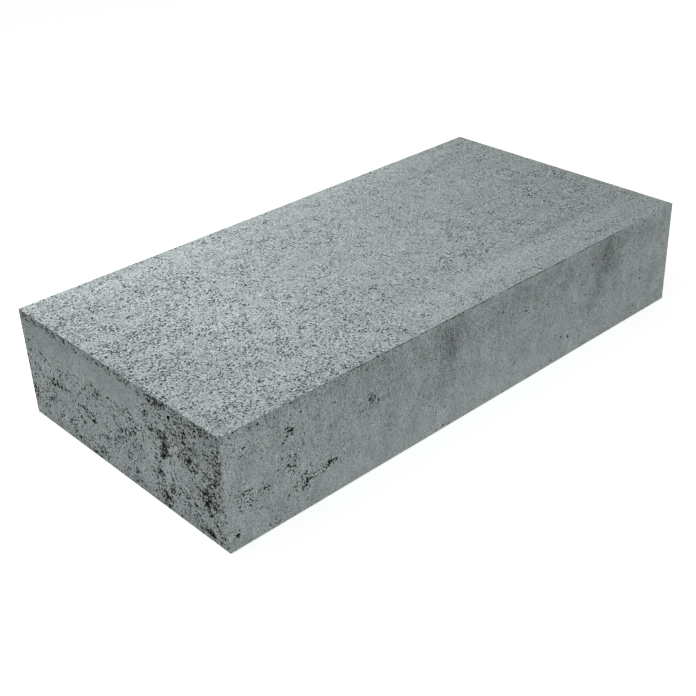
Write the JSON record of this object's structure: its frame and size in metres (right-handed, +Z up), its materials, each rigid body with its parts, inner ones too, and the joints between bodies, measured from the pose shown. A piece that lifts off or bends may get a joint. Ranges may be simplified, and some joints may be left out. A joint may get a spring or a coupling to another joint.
{
  "type": "concrete block step",
  "caption": "Solid cast concrete block step: a plain rectangular slab with a finely rough tread, smooth pitted faces and crisp eased arrises, laid as a garden or entrance stair tread.",
  "frame": {"origin": "middle of the bed (the underside), so the step stands on Z = 0", "axes": "+X along the step's length, +Y from the nose to the back, +Z up from the bed to the tread"},
  "size_m": [0.8, 0.4, 0.15],
  "materials": {
    "concrete": "matte"
  },
  "bodies": {
    "root": {"block_step": "concrete"}
  },
  "joints": []
}
